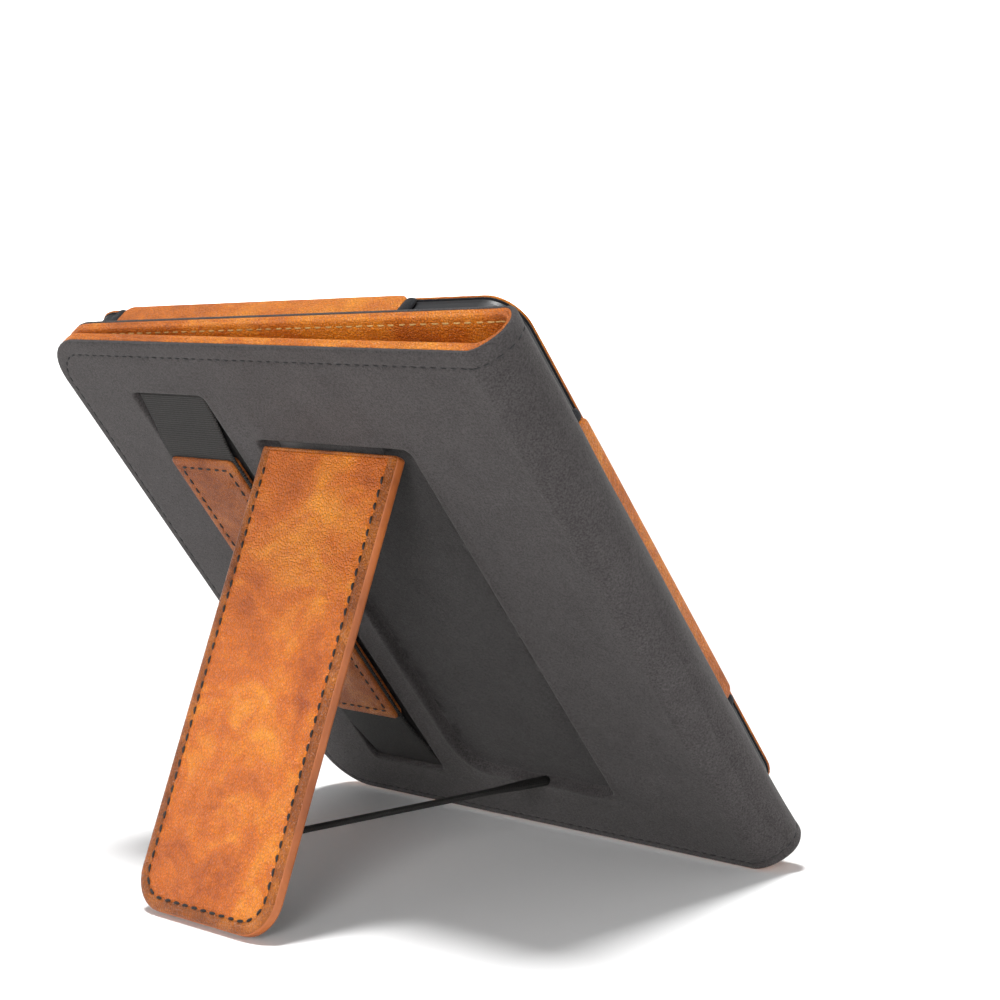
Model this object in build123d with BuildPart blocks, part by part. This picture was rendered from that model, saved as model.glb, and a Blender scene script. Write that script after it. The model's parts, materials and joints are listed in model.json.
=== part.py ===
from build123d import *
from math import asin, cos, degrees, radians, sin
import os

# A page-button e-reader in a leather folio stand case. The cover is folded right round behind the
# reader, and the case leans back on the kickstand that swings out of the cover's lining.
# Frame: +Z up, the screen faces -Y and up, the spine is at -X and the kickstand on the +Y side.
# The origin is under the middle of the whole object, on the table.

# Posture
lean = 51.5  # the cover's angle to the table
wedge = 3.3  # the tray opens from the cover by this angle, widest at the spine
stand_angle = 60.3  # the open kickstand's angle to the cover

# Case leaves: the tray that holds the reader, and the cover
leaf_height = 168.0
leaf_width = 150.6
leaf_corner = 13.0
leather = 1.0
lining = 0.8
tray_board_thickness = 1.4
cover_board_thickness = 2.2
board_inset = 1.5
edge_gap = 0.35  # the two leaves stay this far apart at the free edge
closed_gap = 3.3  # room between the sleeve's front and the lining when the case is shut

# Spine: three soft slats on four crease lines
slat_length = 9.5
slat_back = 8.5
slat_skin = 1.2
crease_slim = 0.8
crease_wide = 1.35

# Reader
reader_width = 144.0
reader_height = 160.0
reader_thickness = 8.0
reader_corner = 9.0
reader_margin = 3.2  # tray edge to reader, at the free edge
housing_depth = 6.6
housing_wall = 1.4
housing_floor = 1.2
window_width = 110.0
window_height = 145.0
window_shift = -11.0  # the screen sits towards the spine, the page buttons beside it
glass_gap = 0.3

# Sleeve that clips the reader to the tray
frame_thickness = 1.0
frame_margin = 0.3
frame_lip = 4.5
wall_thickness = 1.4
wall_gap = 0.1
top_wall_length = 98.0
top_wall_shift = 8.0
bottom_wall_length = 84.0
side_wall_length = 91.0

# Lining wells in the cover, measured from the cover's free edge and lower edge
well_wall = 0.6
strap_left, strap_right = 24.6, 52.4
strap_low, strap_high = 15.5, 151.5
stand_left, stand_right = 62.5, 115.8
stand_low, stand_high = 18.6, 138.1

# Hand strap
elastic_width = 25.0
elastic_thickness = 0.8
elastic_seat = 1.4
elastic_rise = 1.2
grip_width = 24.4
grip_low, grip_high = 37.6, 132.4
grip_layer = 1.0

# Kickstand
hinge_height = 136.1
hinge_depth = 0.5
stand_middle = 88.6
stand_width = 47.2
stand_half = 1.6
stand_core_half = 0.7
stand_top = 0.6
stand_corner = 9.0
band_width = 1.2
tether_width = 3.0
tether_thickness = 0.6
tether_reach = 95.0  # from the hinge to the tether's end on the stand
tether_exit = 1.4

# Small parts
screw_hole = 0.8
screw_head = 1.5
screw_length = 3.4
screw_socket = 0.6
head_thickness = 0.5
magnet_radius = 4.0
magnet_thickness = 1.2
button_width, button_length = 6.4, 28.0
button_travel = 0.5
button_flange = 0.5
button_gap = 0.3
button_spacing = 40.0
button_middle = 60.0  # page buttons' column from the reader's middle
power_middle = 55.0
usb_middle = -56.0

power_length, power_height, power_proud = 10.0, 2.2, 0.4
port_width, port_opening, port_depth, port_inset, port_height = 9.2, 3.4, 7.0, 0.3, 3.1
port_clearance, port_shell = 0.2, 0.3  # the clearance is on the whole width, the shell on each side
port_back, tongue_width, tongue_thickness, tongue_setback = 0.8, 6.6, 0.7, 1.0
housing_chamfer, bezel_chamfer = 0.8, 0.4
boss_radius = 2.1
board_lift, board_thickness, board_width, board_height, board_y = 0.4, 0.8, 96.0, 27.5, -58.75
chip_thickness, chip_width, chip_height = 1.1, 10.0, 9.0
small_chip_width, small_chip_height = 6.0, 4.0
chip_spots = [(20.0, board_y), (36.0, board_y + 4.0)]
small_chip_spot = (8.0, board_y - 6.0)
shield_width, shield_length, shield_height, shield_wall, shield_round = 34.0, 20.0, 1.6, 0.3, 1.0
shield_spot = (-22.0, board_y)
battery_x, battery_y, battery_width, battery_height, battery_thickness = -10.0, 14.0, 92.0, 74.0, 3.0
mid_frame_height, mid_frame_thickness = 4.8, 0.7
mid_frame_x, mid_frame_width, mid_frame_length = -8.5, 122.0, 154.0
panel_thickness, guide_thickness, lens_sink = 0.6, 0.5, 0.2
switch_drop, dome_radius, dome_height = 0.9, 2.5, 0.5
battery_round, battery_corner = 0.4, 2.0
mid_frame_corner, mid_opening_corner = 4.0, 3.0
mid_ledge_x, mid_ledge_y = 10.0, 7.0  # how far the mid frame laps over the battery's edges
window_corner, lens_corner, panel_border = 1.6, 1.5, 2.0
flange_border, power_flange_x, power_flange_y = 1.0, 0.5, 0.4
power_round, power_overlap, power_flange_set = 1.05, 0.1, 0.2
switch_length, switch_depth = 5.0, 2.0
strap_well_corner, stand_well_corner = 1.0, 2.0
grip_corner, grip_end_gap, tape_side_gap = 2.0, 0.5, 0.5
tape_tuck, tape_thickness = 9.0, 0.4
skin_gap = 0.05
tether_gap = 0.4
tether_offset = 2.7
button_proud = 0.4

# Derived layers, upwards from the tray's outer face
tray_thickness = leather + tray_board_thickness + lining
frame_base = tray_thickness + reader_thickness
sleeve_front = frame_base + frame_thickness
cover_thickness = lining + cover_board_thickness + leather
leather_base = lining + cover_board_thickness

# Spine angles: each slat's lean when the cover is folded behind, and when the case is shut
crease_x = -(leaf_width + crease_slim)
tray_rise = cover_thickness + edge_gap - crease_x * sin(radians(wedge)) + leather * cos(radians(wedge))
rest_rise = tray_rise - leather_base - slat_back
shut_rise = sleeve_front + closed_gap + leather_base - leather - slat_back
slat_lean = degrees(asin(rest_rise / (2 * slat_length)))
slat_shut = degrees(asin(shut_rise / (2 * slat_length)))

# Where the whole stands: centred over its footprint
lean_sin, lean_cos = sin(radians(lean)), cos(radians(lean))
floor_angle = radians(lean + stand_angle)
hinge_rise = hinge_height * lean_sin + hinge_depth * lean_cos
stand_length = (hinge_rise + stand_half * cos(floor_angle)) / sin(floor_angle)
foot_reach = hinge_height * lean_cos - hinge_depth * lean_sin - stand_length * cos(floor_angle)
foot_reach += stand_half * sin(floor_angle)
front_reach = (tray_rise + sleeve_front - leather) * lean_sin - (leaf_height - reader_height) / 2 * lean_cos
spine_reach = -crease_x + slat_length * cos(radians(slat_lean)) + slat_skin
cover_plane = Plane(
    origin=(spine_reach / 2, (front_reach - foot_reach) / 2, 0),
    x_dir=(1, 0, 0),
    z_dir=(0, -lean_sin, lean_cos),
)


def moved_plane(plane, x, y, z, turn=(0, 0, 0)):
    """A plane shifted along its own axes and then turned about them."""
    return Plane(plane.location * Location((x, y, z), turn))


tray_plane = moved_plane(cover_plane, 0, 0, cover_thickness + edge_gap, (0, wedge, 0))
reader_x = -(reader_margin + reader_width / 2)
reader_plane = moved_plane(tray_plane, reader_x, leaf_height / 2, 0)
slat_a_plane = moved_plane(tray_plane, crease_x, 0, leather, (0, -wedge - slat_lean, 0))
slat_b_plane = moved_plane(slat_a_plane, -slat_length, 0, 0, (0, slat_lean - 90, 0))
slat_c_plane = moved_plane(slat_b_plane, -slat_back, 0, 0, (0, slat_lean - 90, 0))
cover_crease = moved_plane(slat_c_plane, -slat_length, 0, 0, (0, -slat_lean, 0))
stand_plane = moved_plane(cover_plane, -stand_middle, hinge_height, hinge_depth, (stand_angle, 0, 0))


def leaf(plane, inset):
    """A case leaf's outline: square at the spine, rounded at its two free corners."""
    with BuildSketch(plane) as outline:
        with Locations((-inset, inset)):
            Rectangle(leaf_width - inset, leaf_height - 2 * inset, align=(Align.MAX, Align.MIN))
        fillet(outline.vertices().group_by(Axis.X)[-1], leaf_corner - inset)
    return outline.sketch


def well(plane, left, right, low, high, corner, grow=0.0):
    """A well in the cover's lining, measured from the cover's free edge and lower edge."""
    with BuildSketch(plane) as outline:
        with Locations((-(left + right) / 2, (low + high) / 2)):
            RectangleRounded(right - left + 2 * grow, high - low + 2 * grow, corner + grow)
    return outline.sketch


def reader_outline(plane, grow):
    """The reader's outline, grown outwards or shrunk inwards."""
    with BuildSketch(plane) as outline:
        RectangleRounded(reader_width + 2 * grow, reader_height + 2 * grow, reader_corner + grow)
    return outline.sketch


def outer_edges(builder, plane):
    """The edges of a piece's outermost face along a plane's normal."""
    upwards = Axis(plane.origin, plane.z_dir)
    return builder.faces().filter_by(plane).sort_by(upwards)[-1].edges()


strap_well = (strap_left, strap_right, strap_low, strap_high, strap_well_corner)
stand_well = (stand_left, stand_right, stand_low, stand_high, stand_well_corner)
screw_spots = [(-66, -74), (-66, 0), (-66, 74), (49, -74), (49, 0), (49, 74)]
magnet_spots = [(-7, 48), (-7, 84), (-7, 120)]
button_spots = [(button_middle, -button_spacing / 2), (button_middle, button_spacing / 2)]

# ---------------------------------------------------------------- tray

with BuildPart() as tray_leather:
    extrude(leaf(tray_plane, 0), amount=leather)

with BuildPart() as tray_board:
    extrude(leaf(tray_plane.offset(leather), board_inset), amount=tray_board_thickness)
    with BuildSketch(tray_plane.offset(leather)) as magnet_holes:
        with Locations(*magnet_spots):
            Circle(magnet_radius + wall_gap)
    extrude(amount=tray_board_thickness, mode=Mode.SUBTRACT)

with BuildPart() as tray_magnets:
    with BuildSketch(tray_plane.offset(leather)) as discs:
        with Locations(*magnet_spots):
            Circle(magnet_radius)
    extrude(amount=magnet_thickness)

with BuildPart() as tray_lining:
    extrude(leaf(tray_plane.offset(leather + tray_board_thickness), skin_gap), amount=lining)

# ---------------------------------------------------------------- sleeve

with BuildPart() as sleeve_frame:
    extrude(reader_outline(reader_plane.offset(frame_base), frame_margin), amount=frame_thickness)
    window = reader_outline(reader_plane.offset(frame_base), -frame_lip)
    extrude(window, amount=frame_thickness, mode=Mode.SUBTRACT)

with BuildPart() as sleeve_wall_top:
    with BuildSketch(reader_plane.offset(tray_thickness)) as strip:
        with Locations((top_wall_shift, reader_height / 2 + frame_margin + wall_gap)):
            Rectangle(top_wall_length, wall_thickness, align=(Align.CENTER, Align.MIN))
    extrude(amount=sleeve_front - tray_thickness)

with BuildPart() as sleeve_wall_bottom:
    with BuildSketch(reader_plane.offset(tray_thickness)) as strip:
        with Locations((0, -reader_height / 2 - frame_margin - wall_gap)):
            Rectangle(bottom_wall_length, wall_thickness, align=(Align.CENTER, Align.MAX))
    extrude(amount=sleeve_front - tray_thickness)

with BuildPart() as sleeve_wall_spine_side:
    with BuildSketch(reader_plane.offset(tray_thickness)) as strip:
        with Locations((-reader_width / 2 - frame_margin - wall_gap, 0)):
            Rectangle(wall_thickness, side_wall_length, align=(Align.MAX, Align.CENTER))
    extrude(amount=sleeve_front - tray_thickness)

with BuildPart() as sleeve_wall_free_side:
    with BuildSketch(reader_plane.offset(tray_thickness)) as strip:
        with Locations((reader_width / 2 + frame_margin + wall_gap, 0)):
            Rectangle(wall_thickness, side_wall_length, align=(Align.MIN, Align.CENTER))
    extrude(amount=sleeve_front - tray_thickness)

# ---------------------------------------------------------------- reader

housing_base = reader_plane.offset(tray_thickness)
housing_inside = reader_plane.offset(tray_thickness + housing_floor)
board_base = reader_plane.offset(tray_thickness + housing_floor + board_lift)
mid_frame_base = reader_plane.offset(tray_thickness + mid_frame_height)
panel_base = mid_frame_base.offset(mid_frame_thickness)
guide_base = panel_base.offset(panel_thickness)
bezel_base = reader_plane.offset(tray_thickness + housing_depth)
end_face = Plane(
    origin=reader_plane.from_local_coords((0, -reader_height / 2, tray_thickness + port_height)),
    x_dir=reader_plane.x_dir,
    z_dir=reader_plane.y_dir,
)

with BuildPart() as rear_housing:
    extrude(reader_outline(housing_base, 0), amount=housing_depth)
    chamfer(outer_edges(rear_housing, -housing_base), housing_chamfer)
    extrude(reader_outline(housing_inside, -housing_wall), amount=housing_depth, mode=Mode.SUBTRACT)
    with BuildSketch(housing_inside) as bosses:
        with Locations(*screw_spots):
            Circle(boss_radius)
    extrude(amount=mid_frame_height - housing_floor)
    with BuildSketch(housing_inside.offset(housing_floor / 2)) as boss_holes:
        with Locations(*screw_spots):
            Circle(screw_hole)
    extrude(amount=mid_frame_height, mode=Mode.SUBTRACT)
    with BuildSketch(end_face) as port_cuts:
        with Locations((usb_middle, 0)):
            SlotOverall(port_width, port_opening)
        with Locations((power_middle, 0)):
            Rectangle(power_length + 2 * button_gap, power_height + 2 * button_gap)
    extrude(amount=housing_wall, mode=Mode.SUBTRACT)

with BuildPart() as battery:
    with BuildSketch(housing_inside) as cell:
        with Locations((battery_x, battery_y)):
            RectangleRounded(battery_width, battery_height, battery_corner)
    extrude(amount=battery_thickness)
    fillet(outer_edges(battery, housing_inside), battery_round)

with BuildPart() as logic_board:
    with BuildSketch(board_base) as board:
        with Locations((0, board_y)):
            Rectangle(board_width, board_height)
        with Locations(*screw_spots):
            Circle(boss_radius + button_gap, mode=Mode.SUBTRACT)
    extrude(amount=board_thickness)
    with BuildSketch(board_base.offset(board_thickness)) as chips:
        with Locations(*chip_spots):
            Rectangle(chip_width, chip_height)
        with Locations(small_chip_spot):
            Rectangle(small_chip_width, small_chip_height)
    extrude(amount=chip_thickness)

with BuildPart() as board_shield:
    with BuildSketch(board_base.offset(board_thickness)) as can:
        with Locations(shield_spot):
            RectangleRounded(shield_width, shield_length, shield_round)
    extrude(amount=shield_height)
    with BuildSketch(board_base.offset(board_thickness)) as can_inside:
        with Locations(shield_spot):
            Rectangle(shield_width - 2 * shield_wall, shield_length - 2 * shield_wall)
    extrude(amount=shield_height - shield_wall, mode=Mode.SUBTRACT)

with BuildPart() as usb_port:
    with BuildSketch(end_face.offset(port_inset)) as shell:
        with Locations((usb_middle, 0)):
            SlotOverall(port_width - port_clearance, port_opening - port_clearance)
    extrude(amount=port_depth)
    with BuildSketch(end_face.offset(port_inset)) as mouth:
        with Locations((usb_middle, 0)):
            cut_back = port_clearance + 2 * port_shell
            SlotOverall(port_width - cut_back, port_opening - cut_back)
    extrude(amount=port_depth - port_back, mode=Mode.SUBTRACT)
    with BuildSketch(end_face.offset(port_inset + port_depth - port_back)) as tongue:
        with Locations((usb_middle, 0)):
            Rectangle(tongue_width, tongue_thickness)
    extrude(amount=port_back + tongue_setback - port_depth)

with BuildPart() as mid_frame:
    with BuildSketch(mid_frame_base) as plate:
        with Locations((mid_frame_x, 0)):
            RectangleRounded(mid_frame_width, mid_frame_length, mid_frame_corner)
        with Locations(*screw_spots):
            Circle(screw_hole + wall_gap, mode=Mode.SUBTRACT)
        with Locations((battery_x, battery_y)):
            opening = (battery_width - 2 * mid_ledge_x, battery_height - 2 * mid_ledge_y)
            RectangleRounded(*opening, mid_opening_corner, mode=Mode.SUBTRACT)
    extrude(amount=mid_frame_thickness)
    with BuildSketch(panel_base.offset(-head_thickness)) as head_seats:
        with Locations(*screw_spots):
            Circle(screw_head + wall_gap)
    extrude(amount=head_thickness, mode=Mode.SUBTRACT)

with BuildPart() as housing_screws:
    with BuildSketch(panel_base.offset(-screw_length)) as shanks:
        with Locations(*screw_spots):
            Circle(screw_hole - skin_gap)
    extrude(amount=screw_length)
    with BuildSketch(panel_base.offset(-head_thickness)) as heads:
        with Locations(*screw_spots):
            Circle(screw_head)
            RegularPolygon(screw_socket, 6, mode=Mode.SUBTRACT)
    extrude(amount=head_thickness)

with BuildPart() as display_panel:
    with BuildSketch(panel_base) as sheet:
        with Locations((window_shift, 0)):
            Rectangle(window_width + 2 * panel_border, window_height + 2 * panel_border)
    extrude(amount=panel_thickness)

with BuildPart() as light_guide:
    with BuildSketch(guide_base) as sheet:
        with Locations((window_shift, 0)):
            Rectangle(window_width + 2 * panel_border, window_height + 2 * panel_border)
    extrude(amount=guide_thickness)

with BuildPart() as cover_lens:
    with BuildSketch(bezel_base) as sheet:
        with Locations((window_shift, 0)):
            RectangleRounded(window_width - glass_gap, window_height - glass_gap, lens_corner)
    extrude(amount=reader_thickness - housing_depth - lens_sink)

with BuildPart() as front_bezel:
    extrude(reader_outline(bezel_base, 0), amount=reader_thickness - housing_depth)
    chamfer(outer_edges(front_bezel, bezel_base), bezel_chamfer)
    with BuildSketch(bezel_base) as openings:
        with Locations((window_shift, 0)):
            RectangleRounded(window_width, window_height, window_corner)
        with Locations(*button_spots):
            SlotOverall(button_length + 2 * button_gap, button_width + 2 * button_gap, rotation=90)
    extrude(amount=reader_thickness, mode=Mode.SUBTRACT)


def page_button(x, y):
    """A page button's cap, with the flange that keeps it in the bezel."""
    with BuildPart() as button:
        with BuildSketch(moved_plane(bezel_base, x, y, -button_gap - button_flange)) as flange:
            Rectangle(button_width + 2 * flange_border, button_length + 2 * flange_border)
        extrude(amount=button_flange)
        with BuildSketch(moved_plane(bezel_base, x, y, -button_gap)) as cap:
            SlotOverall(button_length, button_width, rotation=90)
        extrude(amount=reader_thickness - housing_depth + button_gap + button_proud)
        fillet(outer_edges(button, bezel_base), button_gap)
    return button.part


page_button_lower = page_button(*button_spots[0])
page_button_upper = page_button(*button_spots[1])

with BuildPart() as page_switch_board:
    with BuildSketch(mid_frame_base.offset(-switch_drop)) as strip:
        with Locations((button_middle, 0)):
            Rectangle(button_width, button_length + button_spacing)
    extrude(amount=board_thickness)

with BuildPart() as page_switches:
    with BuildSketch(mid_frame_base.offset(board_thickness - switch_drop)) as domes:
        with Locations(*button_spots):
            Circle(dome_radius)
    extrude(amount=dome_height)

with BuildPart() as power_button:
    with BuildSketch(end_face.offset(-power_proud)) as cap:
        with Locations((power_middle, 0)):
            RectangleRounded(power_length, power_height, power_round)
    extrude(amount=power_proud + housing_wall + button_travel + power_overlap)
    with BuildSketch(end_face.offset(housing_wall + power_flange_set)) as flange:
        with Locations((power_middle, 0)):
            Rectangle(power_length + 2 * power_flange_x, power_height + 2 * power_flange_y)
    extrude(amount=button_travel)

with BuildPart() as power_switch:
    with BuildSketch(end_face.offset(housing_wall + 3 * button_travel)) as body:
        with Locations((power_middle, 0)):
            Rectangle(switch_length, power_height)
    extrude(amount=switch_depth)


# ---------------------------------------------------------------- spine


def spine_slat(plane, length, near, far, base):
    """One layer of a spine slat, cut back from the crease lines at its two ends."""
    with BuildPart() as slat:
        with BuildSketch(plane.offset(base)) as strip:
            with Locations((-near, 0)):
                Rectangle(length - near - far, leaf_height, align=(Align.MAX, Align.MIN))
        extrude(amount=slat_skin)
    return slat.part


spine_leather_tray = spine_slat(slat_a_plane, slat_length, crease_slim, crease_wide, -slat_skin)
spine_lining_tray = spine_slat(slat_a_plane, slat_length, crease_slim, crease_wide, 0)
spine_leather_back = spine_slat(slat_b_plane, slat_back, crease_wide, crease_wide, -slat_skin)
spine_lining_back = spine_slat(slat_b_plane, slat_back, crease_wide, crease_wide, 0)
spine_leather_cover = spine_slat(slat_c_plane, slat_length, crease_wide, crease_slim, -slat_skin)
spine_lining_cover = spine_slat(slat_c_plane, slat_length, crease_wide, crease_slim, 0)

# ---------------------------------------------------------------- cover

with BuildPart() as cover_leather:
    extrude(leaf(cover_plane.offset(leather_base), 0), amount=leather)

with BuildPart() as cover_board:
    extrude(leaf(cover_plane.offset(lining), board_inset), amount=cover_board_thickness)
    extrude(well(cover_plane, *strap_well, well_wall), amount=leather_base, mode=Mode.SUBTRACT)
    extrude(well(cover_plane, *stand_well, well_wall), amount=leather_base, mode=Mode.SUBTRACT)
    with BuildSketch(cover_plane) as magnet_pockets:
        with Locations(*magnet_spots):
            Circle(magnet_radius + wall_gap)
    extrude(amount=lining + magnet_thickness + wall_gap, mode=Mode.SUBTRACT)
    with BuildSketch(cover_plane) as tape_pocket:
        with Locations((-stand_middle, stand_high + well_wall)):
            Rectangle(stand_width, tape_tuck, align=(Align.CENTER, Align.MIN))
    extrude(amount=lining + tape_thickness, mode=Mode.SUBTRACT)

with BuildPart() as cover_magnets:
    with BuildSketch(cover_plane.offset(lining)) as discs:
        with Locations(*magnet_spots):
            Circle(magnet_radius)
    extrude(amount=magnet_thickness)

with BuildPart() as cover_lining:
    extrude(leaf(cover_plane, 0), amount=lining)
    extrude(well(cover_plane, *strap_well, well_wall), amount=leather_base)
    extrude(well(cover_plane, *stand_well, well_wall), amount=leather_base)
    extrude(well(cover_plane, *strap_well), amount=leather_base - well_wall, mode=Mode.SUBTRACT)
    extrude(well(cover_plane, *stand_well), amount=leather_base - well_wall, mode=Mode.SUBTRACT)

with BuildPart() as stand_hinge_tape:
    with BuildSketch(cover_plane.offset(lining)) as strip:
        with Locations((-stand_middle, stand_high + well_wall)):
            Rectangle(stand_width - 2 * tape_side_gap, tape_tuck, align=(Align.CENTER, Align.MIN))
    extrude(amount=tape_thickness)

# ---------------------------------------------------------------- hand strap

strap_middle = -(strap_left + strap_right) / 2
strap_side = Plane(
    origin=cover_plane.from_local_coords((strap_middle, 0, 0)),
    x_dir=cover_plane.y_dir,
    z_dir=cover_plane.x_dir,
)

with BuildPart() as strap_elastic:
    with BuildSketch(strap_side) as run:
        with BuildLine():
            ends = Polyline(
                (strap_low + elastic_thickness, elastic_seat),
                (grip_low, -elastic_rise),
                (grip_high, -elastic_rise),
                (strap_high - elastic_thickness, elastic_seat),
            )
            offset(amount=elastic_thickness / 2, side=Side.BOTH, closed=True)
        make_face()
    extrude(amount=elastic_width / 2, both=True)


def grip_half(base):
    """One leather layer of the hand grip, on one face of the elastic."""
    with BuildPart() as layer:
        with BuildSketch(cover_plane.offset(base)) as outline:
            with Locations((strap_middle, (grip_low + grip_high) / 2)):
                RectangleRounded(grip_width, grip_high - grip_low - 2 * grip_end_gap, grip_corner)
        extrude(amount=grip_layer)
    return layer.part


strap_grip_outer = grip_half(-elastic_rise - elastic_thickness / 2 - grip_layer - skin_gap)
strap_grip_inner = grip_half(-elastic_rise + elastic_thickness / 2 + skin_gap)

# ---------------------------------------------------------------- kickstand


def stand_sheet(base, thickness, inset):
    """One layer of the kickstand: square at the hinge, rounded at the foot."""
    with BuildPart() as layer:
        with BuildSketch(stand_plane.offset(base)) as outline:
            with Locations((0, -stand_top - inset)):
                height = stand_length - stand_top - 2 * inset
                Rectangle(stand_width - 2 * inset, height, align=(Align.CENTER, Align.MAX))
            fillet(outline.vertices().group_by(Axis.Y)[0], stand_corner - inset)
        extrude(amount=thickness)
    return layer.part


kickstand_leather = stand_sheet(-stand_half, leather, band_width / 4)
kickstand_board = stand_sheet(leather - stand_half, 2 * stand_core_half, band_width)
kickstand_lining = stand_sheet(leather - stand_half + 2 * stand_core_half, lining, 0)

with BuildPart() as kickstand_edge_band:
    add(stand_sheet(leather - stand_half, 2 * stand_core_half, 0))
    add(kickstand_board, mode=Mode.SUBTRACT)

tether_start = cover_plane.from_local_coords((-stand_middle - tether_offset, stand_low, tether_exit))
tether_end = stand_plane.from_local_coords((-tether_offset, -tether_reach, stand_half + tether_thickness / 2))
tether_run = (tether_end - tether_start).normalized()
tether_plane = Plane(origin=tether_start + tether_run * tether_gap, x_dir=(1, 0, 0), z_dir=tether_run)

with BuildPart() as stand_tether:
    with BuildSketch(tether_plane) as section:
        Rectangle(tether_width, tether_thickness)
    extrude(amount=(tether_end - tether_start).length - 2 * tether_gap)

# ---------------------------------------------------------------- write each piece

pieces = {
    "tray_leather": tray_leather,
    "tray_board": tray_board,
    "tray_magnets": tray_magnets,
    "tray_lining": tray_lining,
    "sleeve_frame": sleeve_frame,
    "sleeve_wall_top": sleeve_wall_top,
    "sleeve_wall_bottom": sleeve_wall_bottom,
    "sleeve_wall_spine_side": sleeve_wall_spine_side,
    "sleeve_wall_free_side": sleeve_wall_free_side,
    "rear_housing": rear_housing,
    "battery": battery,
    "logic_board": logic_board,
    "board_shield": board_shield,
    "usb_port": usb_port,
    "mid_frame": mid_frame,
    "housing_screws": housing_screws,
    "display_panel": display_panel,
    "light_guide": light_guide,
    "cover_lens": cover_lens,
    "front_bezel": front_bezel,
    "page_button_lower": page_button_lower,
    "page_button_upper": page_button_upper,
    "page_switch_board": page_switch_board,
    "page_switches": page_switches,
    "power_button": power_button,
    "power_switch": power_switch,
    "spine_leather_tray": spine_leather_tray,
    "spine_lining_tray": spine_lining_tray,
    "spine_leather_back": spine_leather_back,
    "spine_lining_back": spine_lining_back,
    "spine_leather_cover": spine_leather_cover,
    "spine_lining_cover": spine_lining_cover,
    "cover_leather": cover_leather,
    "cover_board": cover_board,
    "cover_magnets": cover_magnets,
    "cover_lining": cover_lining,
    "stand_hinge_tape": stand_hinge_tape,
    "strap_elastic": strap_elastic,
    "strap_grip_outer": strap_grip_outer,
    "strap_grip_inner": strap_grip_inner,
    "kickstand_leather": kickstand_leather,
    "kickstand_board": kickstand_board,
    "kickstand_lining": kickstand_lining,
    "kickstand_edge_band": kickstand_edge_band,
    "stand_tether": stand_tether,
}

os.makedirs("parts", exist_ok=True)
for name, piece in pieces.items():
    solid = piece.part if isinstance(piece, BuildPart) else piece
    solid.label = name
    export_step(solid, f"parts/{name}.step")
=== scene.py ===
import json
import math
import random

import bmesh
import bpy
from mathutils import Matrix, Vector, noise
from mathutils.geometry import delaunay_2d_cdt


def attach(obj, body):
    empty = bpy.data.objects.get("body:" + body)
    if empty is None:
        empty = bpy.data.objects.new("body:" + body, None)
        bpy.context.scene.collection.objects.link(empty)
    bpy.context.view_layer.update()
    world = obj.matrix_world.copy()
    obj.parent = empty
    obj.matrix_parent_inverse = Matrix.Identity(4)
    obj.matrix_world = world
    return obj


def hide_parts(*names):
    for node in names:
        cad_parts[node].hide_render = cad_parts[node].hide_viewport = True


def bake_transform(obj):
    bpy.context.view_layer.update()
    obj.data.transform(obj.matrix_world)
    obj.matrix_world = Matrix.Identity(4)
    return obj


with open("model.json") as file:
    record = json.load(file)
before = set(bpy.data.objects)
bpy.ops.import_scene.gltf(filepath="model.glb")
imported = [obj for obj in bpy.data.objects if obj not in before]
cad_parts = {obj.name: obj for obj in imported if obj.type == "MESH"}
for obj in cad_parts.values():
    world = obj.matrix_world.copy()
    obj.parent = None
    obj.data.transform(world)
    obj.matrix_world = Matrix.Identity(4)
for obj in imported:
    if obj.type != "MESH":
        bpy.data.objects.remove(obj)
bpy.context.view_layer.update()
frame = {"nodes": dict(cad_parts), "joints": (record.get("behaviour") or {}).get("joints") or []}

MM = 0.001
random.seed(7)

# ---------------------------------------------------------------- frames, in millimetres
# cover: x along the lower edge (free edge at 0, spine towards -x), y up the slope, z towards the screen
CREASE_X, CREASE_Z = -151.091, 3.0
WEDGE = math.radians(3.3)
TRAY_RISE = 4.35
STAND_HINGE = (-88.6, 136.1, 0.5)
STAND_ANGLE = math.radians(60.3)

joints = {j["name"]: j for j in frame["joints"]}
right = Vector((1, 0, 0))
slope_up = Vector(joints["cover_crease"]["axis"]).normalized()
to_screen = right.cross(slope_up)
cover_origin = Vector(joints["cover_crease"]["pos_m"]) - MM * (
    CREASE_X * right + CREASE_Z * to_screen)
axes = Matrix((right, slope_up, to_screen)).transposed().to_4x4()
cover = Matrix.Translation(cover_origin) @ axes @ Matrix.Scale(MM, 4)
tray = cover @ Matrix.Translation((0, 0, TRAY_RISE)) @ Matrix.Rotation(WEDGE, 4, "Y")
stand = cover @ Matrix.Translation(STAND_HINGE) @ Matrix.Rotation(STAND_ANGLE, 4, "X")

LEAF_H, LEAF_R = 168.0, 13.0
SEAM_X = -150.0


# ---------------------------------------------------------------- materials
def nodes_of(name):
    mat = bpy.data.materials.new(name)
    mat.use_nodes = True
    tree = mat.node_tree
    shader = tree.nodes["Principled BSDF"]
    return mat, tree, shader


def add(tree, kind, **values):
    node = tree.nodes.new(kind)
    for key, value in values.items():
        if key in node.inputs:
            node.inputs[key].default_value = value
        else:
            setattr(node, key, value)
    return node


def coordinates(tree, turn=(0, 0, 0), scale=(1, 1, 1)):
    place = add(tree, "ShaderNodeTexCoord")
    mapping = add(tree, "ShaderNodeMapping")
    mapping.inputs["Rotation"].default_value = turn
    mapping.inputs["Scale"].default_value = scale
    tree.links.new(place.outputs["Object"], mapping.inputs["Vector"])
    return mapping.outputs["Vector"]


def noise_of(tree, vector, scale, detail=4, roughness=0.55, distortion=0.0):
    node = add(tree, "ShaderNodeTexNoise")
    node.inputs["Scale"].default_value = scale
    node.inputs["Detail"].default_value = detail
    node.inputs["Roughness"].default_value = roughness
    node.inputs["Distortion"].default_value = distortion
    tree.links.new(vector, node.inputs["Vector"])
    return node.outputs["Fac"]


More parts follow.
